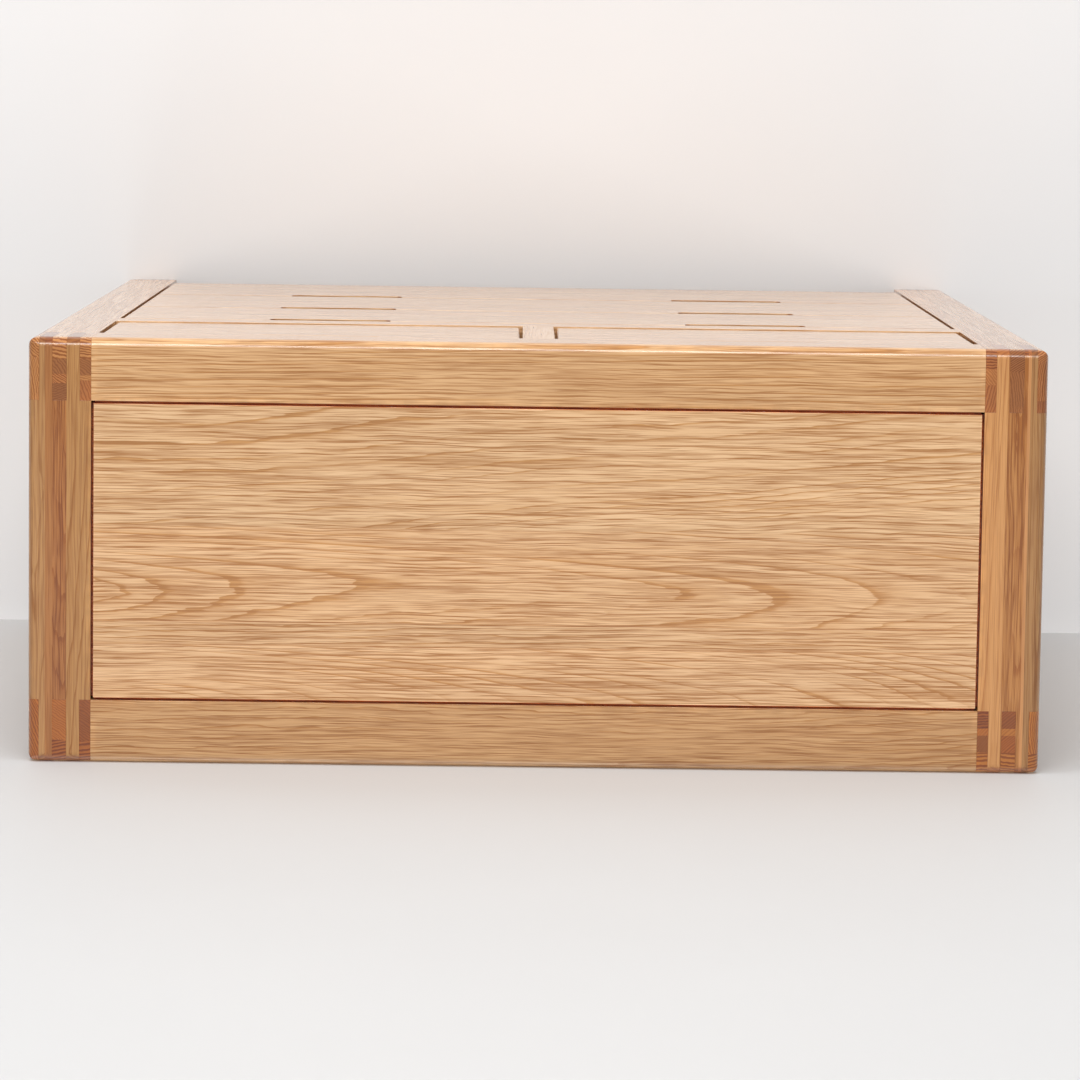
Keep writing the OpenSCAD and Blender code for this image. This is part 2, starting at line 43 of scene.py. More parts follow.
# Nodes are laid out in slanting columns of this many rows, so that none hides another in the editor
NODE_ROWS, NODE_ROW_HEIGHT, NODE_STEP = 9, 120, 40


class Tree:
    """A small front end to a node tree: each call adds a node and returns its output."""

    def __init__(self, tree):
        self.tree = tree
        self.count = 0

    def add(self, kind, **settings):
        node = self.tree.nodes.new(kind)
        node.location = (self.count * NODE_STEP, -(self.count % NODE_ROWS) * NODE_ROW_HEIGHT)
        self.count += 1
        for name, value in settings.items():
            setattr(node, name, value)
        return node

    def feed(self, socket, value):
        if isinstance(value, bpy.types.NodeSocket):
            self.tree.links.new(value, socket)
        elif value is not None:
            socket.default_value = value

    def math(self, operation, a, b=None, c=None, clamp=False):
        node = self.add("ShaderNodeMath", operation=operation, use_clamp=clamp)
        for socket, value in zip(node.inputs, (a, b, c)):
            self.feed(socket, value)
        return node.outputs[0]

    def mix(self, factor, a, b, blend="MIX"):
        node = self.add("ShaderNodeMix", data_type="RGBA", blend_type=blend)
        self.feed(node.inputs["Factor"], factor)
        self.feed(node.inputs[6], a)
        self.feed(node.inputs[7], b)
        return node.outputs[2]

    def lerp(self, factor, a, b):
        node = self.add("ShaderNodeMix", data_type="FLOAT")
        self.feed(node.inputs["Factor"], factor)
        self.feed(node.inputs[2], a)
        self.feed(node.inputs[3], b)
        return node.outputs[0]

    def step(self, value, low, high):
        """A smooth step from 0 at low to 1 at high; low may be above high."""
        node = self.add("ShaderNodeMapRange", interpolation_type="SMOOTHSTEP")
        self.feed(node.inputs["Value"], value)
        self.feed(node.inputs["From Min"], low)
        self.feed(node.inputs["From Max"], high)
        return node.outputs["Result"]

    def split(self, vector):
        node = self.add("ShaderNodeSeparateXYZ")
        self.feed(node.inputs[0], vector)
        return node.outputs

    def join(self, x, y, z):
        node = self.add("ShaderNodeCombineXYZ")
        for socket, value in zip(node.inputs, (x, y, z)):
            self.feed(socket, value)
        return node.outputs[0]

    def scaled(self, vector, scale, shift=(0, 0, 0)):
        node = self.add("ShaderNodeMapping")
        self.feed(node.inputs["Vector"], vector)
        node.inputs["Location"].default_value = shift
        node.inputs["Scale"].default_value = scale
        return node.outputs[0]

    def noise(self, vector, detail=2.0, roughness=0.5, distortion=0.0):
        node = self.add("ShaderNodeTexNoise")
        self.feed(node.inputs["Vector"], vector)
        node.inputs["Scale"].default_value = 1.0
        node.inputs["Detail"].default_value = detail
        node.inputs["Roughness"].default_value = roughness
        node.inputs["Distortion"].default_value = distortion
        return node.outputs["Fac"]

    def steps(self, value, edges, colours):
        """Constant bands: colours[i] from edges[i] up to the next edge, for a value from 0 to 1."""
        node = self.add("ShaderNodeValToRGB")
        self.feed(node.inputs[0], value)
        ramp = node.color_ramp
        ramp.interpolation = "CONSTANT"
        ramp.elements.remove(ramp.elements[1])
        for i, (edge, colour) in enumerate(zip(edges, colours)):
            element = ramp.elements[0] if i == 0 else ramp.elements.new(edge)
            element.position = edge
            element.color = (*colour, 1.0)
        return node.outputs[0]


def blank_material(name):
    """A material without nodes, and the Tree that is to fill it."""
    material = bpy.data.materials.new(name)
    material.use_nodes = True
    material.node_tree.nodes.clear()
    return material, Tree(material.node_tree)


# ---------------------------------------------------------------- the wood itself

# The noise patterns in the oak: features per metre along the grain and twice across it, then a shift
# that keeps the patterns apart, then the detail and the roughness of the noise
PATTERNS = {
    "sway": ((1.6, 7.0, 7.0), (0, 0, 0), 1.0, 0.5),
    "ripple": ((14.0, 45.0, 45.0), (3.1, 0.7, 5.3), 2.0, 0.5),
    "ragged": ((30.0, 260.0, 260.0), (1.1, 2.7, 4.3), 1.0, 0.5),
    "along": ((5.0, 30.0, 30.0), (6.1, 2.7, 1.3), 1.0, 0.5),
    "drift": ((9.0, 30.0, 30.0), (2.2, 6.2, 0.8), 1.0, 0.5),
    "dash": ((7.0, 520.0, 520.0), (0, 0, 0), 2.0, 0.8),
    "fine": ((22.0, 760.0, 760.0), (1.7, 2.9, 0.3), 1.0, 0.6),
    "streak": ((5.0, 150.0, 150.0), (0.3, 4.1, 2.2), 2.0, 0.6),
    "dots": ((60.0, 1500.0, 1500.0), (0.9, 3.9, 1.3), 0.0, 0.5),
    "cloud": ((2.2, 22.0, 22.0), (5.0, 1.0, 2.0), 2.0, 0.5),
    "band": ((0.9, 70.0, 70.0), (0.0, 7.0, 3.0), 2.0, 0.5),
}
# How far sway, ripple and ragged move a ring in all, and drift a pore
SWAY_REACH = 30 * MM
RIPPLE_REACH = 3.6 * MM
RAGGED_REACH = 1.6 * MM
DRIFT_REACH = 6 * MM

# The parts of a ring, in shares of its year: where each has faded out, and where it is still whole
ONSET = (0.0, 0.05)
EARLY = (0.24, 0.03)
GLOW = (0.70, 0.05)
CUT_RING = (0.62, 0.28)
# How golden each part of the wood is, on the faces along the grain and on the end
EARLY_GOLD, GLOW_GOLD, STREAK_GOLD, BAND_GOLD = 1.1, 0.40, 0.25, 0.7
END_RING_GOLD = 0.5
# How dark the pores' dots and the rings are on the end
END_DOT_DARK, END_RING_DARK = 0.35, 0.72


def oak_group():
    """Solid oak in board coordinates: u runs along the grain, v and w across it, all in metres.

    Heart is where the tree's centre lies across the board, and how fast it drifts along it. The rings
    are cylinders round it. End is 1 where the surface cuts across the grain."""
    group = bpy.data.node_groups.new("solid_oak", "ShaderNodeTree")
    face = group.interface
    sockets = (("INPUT", "Vector", ("Board", "Heart")),
               ("INPUT", "Float", ("Spacing", "Contrast", "End")),
               ("INPUT", "Color", ("Light", "Gold", "Dark", "End Tint")),
               ("OUTPUT", "Color", ("Color",)),
               ("OUTPUT", "Float", ("Pores", "Height")))
    for direction, kind, names in sockets:
        for name in names:
            face.new_socket(name, in_out=direction, socket_type="NodeSocket" + kind)
    t = Tree(group)

    def pattern(name, vector):
        scale, shift, detail, roughness = PATTERNS[name]
        return t.noise(t.scaled(vector, scale, shift), detail, roughness)

    def offset(value, reach):
        """How far a pattern moves something: half its reach to either side."""
        return t.math("MULTIPLY", t.math("SUBTRACT", value, 0.5), reach)

    source = t.add("NodeGroupInput").outputs
    board, heart, end = source["Board"], source["Heart"], source["End"]
    u, v, w = t.split(board)
    heart_v, heart_w, slope = t.split(heart)

    # The rings bend slowly along the trunk and ripple a little
    ripple = pattern("ripple", board)
    bend = offset(pattern("sway", board), SWAY_REACH)
    bend = t.math("ADD", bend, offset(ripple, RIPPLE_REACH))
    bend = t.math("ADD", bend, offset(pattern("ragged", board), RAGGED_REACH))
    dv = t.math("ADD", t.math("SUBTRACT", v, heart_v), bend)
    dw = t.math("ADD", t.math("SUBTRACT", w, heart_w), t.math("MULTIPLY", u, slope))
    dw = t.math("ADD", dw, bend)
    radius = t.math("SQRT", t.math("ADD", t.math("MULTIPLY", dv, dv), t.math("MULTIPLY", dw, dw)))
    years = t.math("DIVIDE", radius, source["Spacing"])
    # Good and bad years come in runs, so the rings are not evenly spaced
    runs = t.noise(t.join(t.math("MULTIPLY", years, 0.31), 0.2, 0.6), 1.0)
    phase = t.math("ADD", years, t.math("MULTIPLY", runs, 1.8))
    year = t.math("FRACT", phase)
    # Porous early wood is the dark start of every ring, and it fades into the late wood
    onset = t.step(year, *ONSET)
    early = t.math("MULTIPLY", onset, t.step(year, *EARLY))
    glow = t.math("MULTIPLY", onset, t.step(year, *GLOW))
    # Some rings are faint, and each one fades here and there along the board
    year_tone = t.noise(t.join(phase, 0.37, 0.11), 1.0)
    faded = t.lerp(t.step(pattern("along", board), 0.36, 0.60), 0.25, 1.3)
    strength = t.math("MULTIPLY", t.step(year_tone, 0.25, 0.55), faded)
    early = t.math("MULTIPLY", early, strength, clamp=True)
    glow = t.math("MULTIPLY", glow, strength, clamp=True)

    # Pores: short dashes that wave along the grain, dots on the end
    waved = t.math("ADD", v, offset(pattern("drift", board), DRIFT_REACH))
    flow = t.join(u, waved, w)
    dashes = t.step(pattern("dash", flow), 0.45, 0.61)
    fines = t.step(pattern("fine", flow), 0.46, 0.60)
    porous = t.math("ADD", t.math("MULTIPLY", early, 0.6), 0.7)
    pores = t.math("ADD", dashes, t.math("MULTIPLY", fines, 0.6))
    pores = t.math("MULTIPLY", t.math("SUBTRACT", pores, 0.10), porous, clamp=True)
    dots = t.step(pattern("dots", board), 0.56, 0.66)
    dots = t.math("MULTIPLY", dots, t.math("ADD", early, 0.12))

    # Gold is the colour of the rings, of long streaks and of slow bands. Dark is the colour of the pores.
    lines = t.math("ADD", t.math("MULTIPLY", glow, GLOW_GOLD), t.math("MULTIPLY", early, EARLY_GOLD))
    streaks = t.step(pattern("streak", flow), 0.45, 0.70)
    gold = t.math("ADD", lines, t.math("MULTIPLY", streaks, STREAK_GOLD))
    banded = t.math("SUBTRACT", pattern("band", board), 0.42)
    gold = t.math("ADD", gold, t.math("MULTIPLY", banded, BAND_GOLD))
    # On the end the rings are broader and darker, and the pores are dots
    cut_ring = t.math("MULTIPLY", onset, t.step(year, *CUT_RING))
    end_gold = t.math("ADD", t.math("MULTIPLY", cut_ring, END_RING_GOLD), t.math("SUBTRACT", ripple, 0.48))
    gold = t.math("MULTIPLY", t.lerp(end, gold, end_gold), source["Contrast"], clamp=True)
    end_dark = t.math("ADD", t.math("MULTIPLY", dots, END_DOT_DARK),
                      t.math("MULTIPLY", cut_ring, END_RING_DARK))
    dark = t.lerp(end, pores, end_dark)
    dark = t.math("MULTIPLY", dark, source["Contrast"], clamp=True)
    colour = t.mix(dark, t.mix(gold, source["Light"], source["Gold"]), source["Dark"])
    # Slow changes of tone in a board
    shade = t.lerp(pattern("cloud", board), 0.86, 1.12)
    colour = t.mix(1.0, colour, t.join(shade, shade, shade), "MULTIPLY")
    colour = t.mix(end, colour, t.mix(1.0, colour, source["End Tint"], "MULTIPLY"))

    height = t.math("SUBTRACT", 1.0, t.math("ADD", pores, t.math("MULTIPLY", early, 0.25)))
    out = t.add("NodeGroupOutput").inputs
    t.feed(out["Color"], colour)
    t.feed(out["Pores"], pores)
    t.feed(out["Height"], height)
    return group


OAK = oak_group()
# For each direction of the grain: the axis along it and the two axes across it
AXES = {"X": (0, 1, 2), "Y": (1, 0, 2), "Z": (2, 0, 1)}


def band_edges(sizes):
    """Where bands of the given sizes start, as shares of their total."""
    return [sum(sizes[:i]) / sum(sizes) for i in range(len(sizes))]


class Finish:
    """How a piece of wood is finished: its light, gold and dark tones, what its end grain is multiplied
    by, and its gloss. relief is how much of the pores' depth can be felt."""

    def __init__(self, light, gold, dark, end, roughness, shine, coat, coat_roughness, relief):
        self.light, self.gold, self.dark, self.end = light, gold, dark, end
        self.roughness, self.shine, self.relief = roughness, shine, relief
        self.coat, self.coat_roughness = coat, coat_roughness


# The outside of the chest is lacquered
LACQUERED = Finish(light=(0.75, 0.47, 0.26), gold=(0.53, 0.26, 0.092), dark=(0.37, 0.158, 0.047),
                   end=(0.62, 0.42, 0.235), roughness=0.36, shine=0.4, coat=0.9, coat_roughness=0.13,
                   relief=0.25)
# The drawer boxes, the runners, the back and the underside are only sealed
SEALED = Finish(light=(0.74, 0.50, 0.30), gold=(0.58, 0.35, 0.18), dark=(0.42, 0.23, 0.10),
                end=(0.70, 0.58, 0.48), roughness=0.52, shine=0.4, coat=0.06, coat_roughness=0.35,
                relief=0.2)


class Board:
    """One glued-up stick: its width in mm, its tint and how the rings of its tree cross it.

    The heart is where the tree's centre lies, in mm from the middle of the whole piece, across the
    grain. slope is how fast the heart drifts along the grain, and it makes the arches in a flat sawn
    face. lean is the slope of the rings across the face. rings is the width of a year in mm."""

    def __init__(self, size, tint, heart, slope=0.03, contrast=1.0, lean=0.0, rings=3.4):
        self.size, self.tint, self.heart = size, tint, heart
        self.slope, self.contrast, self.lean, self.rings = slope, contrast, lean, rings


# A colour ramp holds values from 0 to 1, so hearts, contrasts and ring widths are kept in it as shares
# of these ranges, and values that may be negative lie round the middle
MIDDLE = 0.5
HEART_RANGE = 800 * MM
CONTRAST_RANGE = 2.0
RINGS_RANGE = 10 * MM

# What the long faces of a glued-up stick show where its own tint is held back
LONG_FACE = (0.86, 0.83, 0.79)
# What the painted shade in a shadow gap multiplies the wood by, warmed as light bounced between the gap's
# wooden walls would be, and how deep it reaches
GAP_PAINTED_SHADE = (1.25, 0.42, 0.12, 1)
GAP_DEPTH = 0.3 * MM
# How many metres further along the tree a board is cut for each metre its heart lies off, along each of
# the two axes across the grain, so that no two boards show the same pores
CUT_APART_V, CUT_APART_W = 31.7, 17.3
# The surface turns into end grain between these values of its normal along the grain
END_STARTS, END_FULL = 0.25, 0.55
# The band along an edge fades out between these multiples of its width: it is worn on most pieces, and
# darkened by painted shade on the drawer fronts
EDGE_BAND_OUT, EDGE_BAND_FULL = 1.6, 0.4
# How much handling, pores and rubbing change the roughness, and how deep the pores lie
HANDLED_ROUGH, PORE_ROUGH, RUBBED_ROUGH = 0.10, 0.22, 0.08
PORE_DEPTH = 0.15 * MM


def board_channels(t, along, boards):
    """Tint, heart and ring data of the board at a place, from bands across a piece from 0 to 1."""
    edges = band_edges([b.size for b in boards])
    tint = t.steps(along, edges, [b.tint for b in boards])
    place = t.steps(along, edges, [(MIDDLE + b.heart[0] * MM / HEART_RANGE,
                                    MIDDLE + b.heart[1] * MM / HEART_RANGE,
                                    b.contrast / CONTRAST_RANGE) for b in boards])
    shape = t.steps(along, edges, [(MIDDLE + b.slope, MIDDLE + b.lean, b.rings * MM / RINGS_RANGE)
                                   for b in boards])
    return tint, place, shape


def wood(node, grain, boards, across=None, columns=(), finish=LACQUERED, side_share=1.0,
         edge_band_width=1.5, edge_tone=0.14, inset=(0, 0, 0), seed=0.0):
    """The oak material of one CAD node, whose name it takes.

    grain is the axis along the grain. boards lie side by side along the axis across. columns, a list of
    (axis, edge in mm from the low side, boards), replaces them past that edge, for a piece glued up in two
    directions. side_share is how much of a board's tint and contrast its long faces show. edge_band_width
    is how wide the band along the edges is, in mm. edge_tone is how much paler rubbed edges are, or, if it
    is negative, how much painted shade darkens the edges beside the gaps round a piece. inset is how far
    the visible edges lie inside the node's box, in mm along each axis, and where it is set, painted shade
    darkens the shadow gap there. seed takes the piece from another part of the tree."""
    material, t = blank_material(node)
    low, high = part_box(node)
    middle = (Vector(low) + Vector(high)) / 2
    coords = t.add("ShaderNodeTexCoord").outputs
    centred = t.scaled(coords["Object"], (1, 1, 1), tuple(-middle))
    along_i, v_i, w_i = AXES[grain]
    place = t.split(centred)
    normal = t.split(coords["Normal"])[along_i]
    end = t.step(t.math("ABSOLUTE", normal), END_STARTS, END_FULL)

    across_i = "XYZ".index(across) if across else v_i
    share = t.math("DIVIDE", t.math("ADD", place[across_i], (high[across_i] - low[across_i]) / 2),
                   high[across_i] - low[across_i])
    tint, heart, shape = board_channels(t, share, boards)
    for axis, edge, column in columns:
        axis_i = "XYZ".index(axis)
        half = (high[axis_i] - low[axis_i]) / 2
        inside = t.math("GREATER_THAN", place[axis_i], edge * MM - half)
        channels = board_channels(t, share, column)
        tint, heart, shape = (t.mix(inside, a, b) for a, b in zip((tint, heart, shape), channels))
    heart_v, heart_w, contrast = t.split(heart)
    heart_v = t.math("MULTIPLY", t.math("SUBTRACT", heart_v, MIDDLE), HEART_RANGE)
    heart_w = t.math("MULTIPLY", t.math("SUBTRACT", heart_w, MIDDLE), HEART_RANGE)
    contrast = t.math("MULTIPLY", contrast, CONTRAST_RANGE)
    slope, lean, rings = t.split(shape)
    slope = t.math("SUBTRACT", slope, MIDDLE)
    lean = t.math("SUBTRACT", lean, MIDDLE)
    if side_share < 1.0:
        shown = t.lerp(end, side_share, 1.0)
        tint = t.mix(shown, (*LONG_FACE, 1), tint)
        contrast = t.lerp(shown, 1.0, contrast)
    # Where along its tree the board was cut
    shift = t.math("ADD", t.math("MULTIPLY", heart_v, CUT_APART_V),
                   t.math("MULTIPLY", heart_w, CUT_APART_W))
    shift = t.math("ADD", shift, seed)
    u = t.math("ADD", place[along_i], shift)
    heart_v = t.math("ADD", heart_v, t.math("MULTIPLY", place[along_i], lean))

    oak = t.add("ShaderNodeGroup")
    oak.node_tree = OAK
    t.feed(oak.inputs["Board"], t.join(u, place[v_i], place[w_i]))
    # The drift of the heart is measured along the tree, so the cut's own share of it is taken back
    heart_w = t.math("ADD", heart_w, t.math("MULTIPLY", shift, slope))
    t.feed(oak.inputs["Heart"], t.join(heart_v, heart_w, slope))
    t.feed(oak.inputs["Spacing"], t.math("MULTIPLY", rings, RINGS_RANGE))
    t.feed(oak.inputs["Contrast"], contrast)
    t.feed(oak.inputs["Light"], (*finish.light, 1))
    t.feed(oak.inputs["Gold"], (*finish.gold, 1))
    t.feed(oak.inputs["Dark"], (*finish.dark, 1))
    t.feed(oak.inputs["End Tint"], (*finish.end, 1))
    t.feed(oak.inputs["End"], end)

    # The band along the edges: where two of the distances to the faces of the piece's box are small. Most
    # pieces are rubbed paler there. On the drawer fronts, painted shade darkens it instead, beside the
    # gaps
    distances = [t.math("SUBTRACT", (high[i] - low[i]) / 2 - inset[i] * MM, t.math("ABSOLUTE", place[i]))
                 for i in range(3)]
    least = t.math("MINIMUM", distances[0], t.math("MINIMUM", distances[1], distances[2]))
    most = t.math("MAXIMUM", distances[0], t.math("MAXIMUM", distances[1], distances[2]))
    total = t.math("ADD", distances[0], t.math("ADD", distances[1], distances[2]))
    second = t.math("SUBTRACT", t.math("SUBTRACT", total, least), most)
    patchy = t.noise(t.scaled(centred, (60, 60, 60), (seed, 0, 0)), 2.0)
    near_edge = t.step(second, edge_band_width * EDGE_BAND_OUT * MM, edge_band_width * EDGE_BAND_FULL * MM)
    # This band is worn wood on most pieces, and painted shade on the drawer fronts
    rubbed = t.math("MULTIPLY", near_edge, t.step(patchy, 0.35, 0.65))

    colour = t.mix(1.0, oak.outputs["Color"], tint, "MULTIPLY")
    if any(inset):
        # Painted shade darkens the shadow gap round a panel, and warms it as light bounced between its
        # wooden walls would
        to_gap = t.math("MINIMUM", *(d for d, i in zip(distances, inset) if i))
        gap_shaded = t.step(to_gap, GAP_DEPTH, GAP_DEPTH / 6)
        colour = t.mix(gap_shaded, colour, GAP_PAINTED_SHADE, "MULTIPLY")
    # A positive edge tone makes rubbed edges paler. A negative one paints shade along the edges
    toned = t.math("ADD", t.math("MULTIPLY", rubbed, edge_tone), 1.0)
    colour = t.mix(1.0, colour, t.join(toned, toned, toned), "MULTIPLY")
    handled = t.noise(t.scaled(centred, (9, 9, 9), (2.0, seed, 4.0)), 3.0)
    rough = t.math("MULTIPLY", handled, HANDLED_ROUGH)
    rough = t.math("ADD", finish.roughness - HANDLED_ROUGH / 2, rough)
    rough = t.math("ADD", rough, t.math("MULTIPLY", oak.outputs["Pores"], PORE_ROUGH))
    rough = t.math("ADD", rough, t.math("MULTIPLY", rubbed, RUBBED_ROUGH))

    bump = t.add("ShaderNodeBump")
    bump.inputs["Strength"].default_value = finish.relief
    bump.inputs["Distance"].default_value = PORE_DEPTH
    t.feed(bump.inputs["Height"], oak.outputs["Height"])

    shader = t.add("ShaderNodeBsdfPrincipled")
    t.feed(shader.inputs["Base Color"], colour)
    t.feed(shader.inputs["Roughness"], rough)
    t.feed(shader.inputs["Normal"], bump.outputs[0])
    shader.inputs["Specular IOR Level"].default_value = finish.shine
    shader.inputs["Coat Weight"].default_value = finish.coat
    shader.inputs["Coat Roughness"].default_value = finish.coat_roughness
    t.feed(t.add("ShaderNodeOutputMaterial").inputs["Surface"], shader.outputs[0])
    return material


def dress(node, material):
    """Gives a CAD node its material."""
    for slot in nodes[node].material_slots:
        slot.material = material


def soften(node, width):
    """Breaks the sharp edges of a CAD node by a hair, as sanding does. width is in mm."""
    piece = nodes[node]
    weld = piece.modifiers.new("weld", "WELD")
    weld.merge_threshold = 0.01 * MM
    flat = piece.modifiers.new("flat", "DECIMATE")
    flat.decimate_type = "DISSOLVE"
    flat.angle_limit = math.radians(0.5)
    bevel = piece.modifiers.new("sanded", "BEVEL")
    bevel.width = width * MM
    bevel.segments = 2
    bevel.limit_method = "ANGLE"
    bevel.angle_limit = math.radians(40)
    bevel.use_clamp_overlap = False
    smooth = piece.modifiers.new("smooth", "WEIGHTED_NORMAL")
    smooth.keep_sharp = False


# ---------------------------------------------------------------- the frame's boards

# Tints of long faces
PALE = (0.98, 1.0, 0.98)
YELLOW = (0.86, 0.84, 0.66)
SAND = (0.72, 0.65, 0.52)
HONEY = (0.70, 0.57, 0.40)

# Tints of end grain blocks, which differ more than the long faces of the same sticks
CREAM = (1.0, 0.98, 0.92)
BLUSH = (0.92, 0.80, 0.70)
TAN = (0.86, 0.76, 0.66)
BRICK = (0.76, 0.60, 0.49)
BROWN = (0.62, 0.52, 0.44)
COCOA = (0.60, 0.45, 0.37)
# Painted shade on the back legs: their tints are multiplied by this deeper brown
BACK_LEG_SHADE = (0.88, 0.72, 0.40)

# How far the sharp edges of the top, of the other pieces and of the runners are broken, in mm
TOP_EDGE = 0.25
SANDED_EDGE = 0.5
RUNNER_EDGE = 0.6
# How wide the edges of the top's frame are rubbed, in mm
FRAME_WEAR = 5


def stick(size, tint, heart, contrast, rings):
    """A stick of a leg, cut straight along its tree."""
    return Board(size, tint, heart, 0, contrast, 0, rings)


# Legs are glued up from sticks in three columns, one behind each tongue of the comb. Each column is
# listed from the front of the chest to its back, and the columns from the outer side inwards.
LEG_COLUMNS = {
    "leg_front_right": (
        [stick(20, CREAM, (150, 150), 1.2, 2.2), stick(42, CREAM, (200, 15), 1.0, 2.0)],
        [stick(21, CREAM, (50, 190), 1.6, 3.2), stick(15, BROWN, (180, 130), 0.6, 2.4),
         stick(9, BLUSH, (110, 170), 1.3, 2.2), stick(17, BROWN, (30, 200), 1.0, 1.8)],
        [stick(21, CREAM, (10, 220), 1.4, 3.0), stick(16, BROWN, (120, 160), 0.55, 2.4),
         stick(5, CREAM, (0, 200), 0.7, 2.0), stick(20, BRICK, (160, 120), 0.65, 2.4)]),
    "leg_front_left": (
        [stick(12, TAN, (-140, 150), 1.4, 2.0), stick(38, TAN, (-190, 30), 1.2, 2.0),
         stick(12, COCOA, (-190, 30), 0.6, 2.4)],
        [stick(22, BROWN, (-100, 150), 1.3, 2.0), stick(40, BROWN, (200, 60), 0.65, 2.4)],
        [stick(20, BRICK, (5, 210), 1.5, 2.8), stick(15, TAN, (190, 110), 0.6, 2.4),
         stick(27, BRICK, (160, -20), 0.7, 3.0)]),
    "leg_back_right": (
        [stick(62, BLUSH, (190, 60), 1.0, 2.6)],
        [stick(40, BLUSH, (150, 150), 0.6, 2.4), stick(22, BRICK, (60, -190), 1.5, 3.2)],
        [stick(41, COCOA, (100, 180), 0.55, 2.4), stick(21, BRICK, (5, -200), 1.5, 3.9)]),
    "leg_back_left": (
        [stick(42, CREAM, (-200, 0), 1.0, 2.2), stick(20, CREAM, (10, -200), 1.5, 3.4)],
        [stick(17, COCOA, (-140, 150), 0.55, 2.4), stick(7, CREAM, (-100, 100), 0.5, 2.4),
         stick(17, BRICK, (-120, 130), 0.7, 2.2), stick(21, CREAM, (-15, -200), 1.8, 3.8)],
        [stick(17, COCOA, (5, 200), 1.3, 2.8), stick(7, BLUSH, (-100, 100), 0.5, 2.4),
         stick(17, BROWN, (-150, 140), 0.8, 2.2), stick(21, CREAM, (20, -200), 1.8, 3.6)]),
}
# Where the second and the third column start, in mm from the -X side of a leg
COLUMN_EDGES = (17.5, 44.5)


def with_back_leg_shade(board):
    """The same board, darkened by the painted shade of the back legs."""
    tint = tuple(a * b for a, b in zip(board.tint, BACK_LEG_SHADE))
    return Board(board.size, tint, board.heart, board.slope, board.contrast, board.lean, board.rings)


def leg(node, seed):
    """The material of a leg, glued up in two directions."""
    columns = LEG_COLUMNS[node]
    # Painted shade: the back legs are darkened to a deeper brown on every face
    if "back" in node:
        columns = [[with_back_leg_shade(board) for board in column] for column in columns]
    # The outer side of a left leg is its -X side, and that of a right leg is its +X side
    first, second, third = columns if node.endswith("left") else reversed(columns)
    further = [("X", COLUMN_EDGES[0], second), ("X", COLUMN_EDGES[1], third)]
    return wood(node, "Z", first, across="Y", columns=further, side_share=0.3, edge_band_width=FRAME_WEAR, seed=seed)


for i, node in enumerate(sorted(LEG_COLUMNS)):
    dress(node, leg(node, 0.31 * i))
    soften(node, TOP_EDGE)

# Side rails of the top, each with its seed: sticks side by side, from -X to +X
SIDE_RAILS = {
    "side_top_rail_right": ([Board(24, (0.58, 0.456, 0.268), (30, -110), 0.01, 0.6),
                             Board(14, (0.515, 0.317, 0.148), (-10, -35), 0.03, 1.3, 0.02, 2.6),
                             Board(7, (0.53, 0.34, 0.17), (0, 150), 0.0, 0.6),
                             Board(17, (0.60, 0.48, 0.31), (60, 130), 0.0, 0.7)], 1.7),
    "side_top_rail_left": ([Board(17, (0.51, 0.41, 0.26), (-70, 120), 0.0, 0.7),
                            Board(3, (0.73, 0.53, 0.34), (40, 90), 0.0, 0.3),
                            Board(19, (0.625, 0.43, 0.215), (-6, -40), 0.03, 1.2, -0.02, 2.8),
                            Board(23, (0.765, 0.585, 0.366), (80, -120), 0.02, 0.5)], 2.3),
}
for node, (boards, seed) in SIDE_RAILS.items():
    dress(node, wood(node, "Y", boards, across="X", edge_band_width=FRAME_WEAR, seed=seed))

# Front and back rails of the top, each with its seed
CROSS_RAILS = {
    "top_rail_front": (Board(62, (0.90, 0.865, 0.765), (90, -60), -0.01, 0.9, 0.03, 4.5), 3.9),
    "top_rail_back": (Board(62, (0.76, 0.68, 0.54), (-80, -60), -0.01, 0.9, 0.01, 4.2), 5.2),
}
for node, (board, seed) in CROSS_RAILS.items():
    dress(node, wood(node, "X", [board], across="Y", edge_band_width=FRAME_WEAR, seed=seed))

# The top panel: boards from the front of the chest to its back, with thin dark glue seams
SEAM = Board(1.2, (0.80, 0.68, 0.54), (0, -200), 0.0)
PANEL_BOARDS = [Board(130, PALE, (-205, -90), 0.03, 1.0, 0.11, 7.5),
                Board(93, (1.0, 0.99, 0.95), (40, -38), -0.06, 1.0, 0.0, 5.6), SEAM,
                Board(23, (0.98, 0.97, 0.93), (-60, -90), 0.0, 1.0, 0.0, 4.6), SEAM,
                Board(65, (1.0, 0.99, 0.96), (162, -60), -0.09, 1.1, 0.0, 4.4)]
# How far the visible edges of a framed panel lie inside its box, which includes its tongue, in mm
TONGUE = 11.5
dress("top_panel", wood("top_panel", "X", PANEL_BOARDS, across="Y", edge_band_width=1.2,
                        inset=(TONGUE, TONGUE, 0), seed=4.4))
for node in (*SIDE_RAILS, *CROSS_RAILS, "top_panel"):
    soften(node, TOP_EDGE)

# Rails and uprights seen from the front, the sides and the back, with the axis of their grain
PLAIN_PIECES = (("drawer_rail", "X"), ("divider_upright", "Z"), ("low_rail_front", "X"),
                ("low_rail_back", "X"), ("back_stile", "Z"),
                ("side_low_rail_left", "Y"), ("side_low_rail_right", "Y"))
for i, (node, grain) in enumerate(PLAIN_PIECES):
    contrast = 0.8 if grain == "X" else 0.5
    board = Board(60, (0.95, 0.93, 0.87), (60 - 7 * i, -90 - 5 * i), 0.01, contrast)
    dress(node, wood(node, grain, [board], seed=6 + 0.7 * i))
    soften(node, SANDED_EDGE)

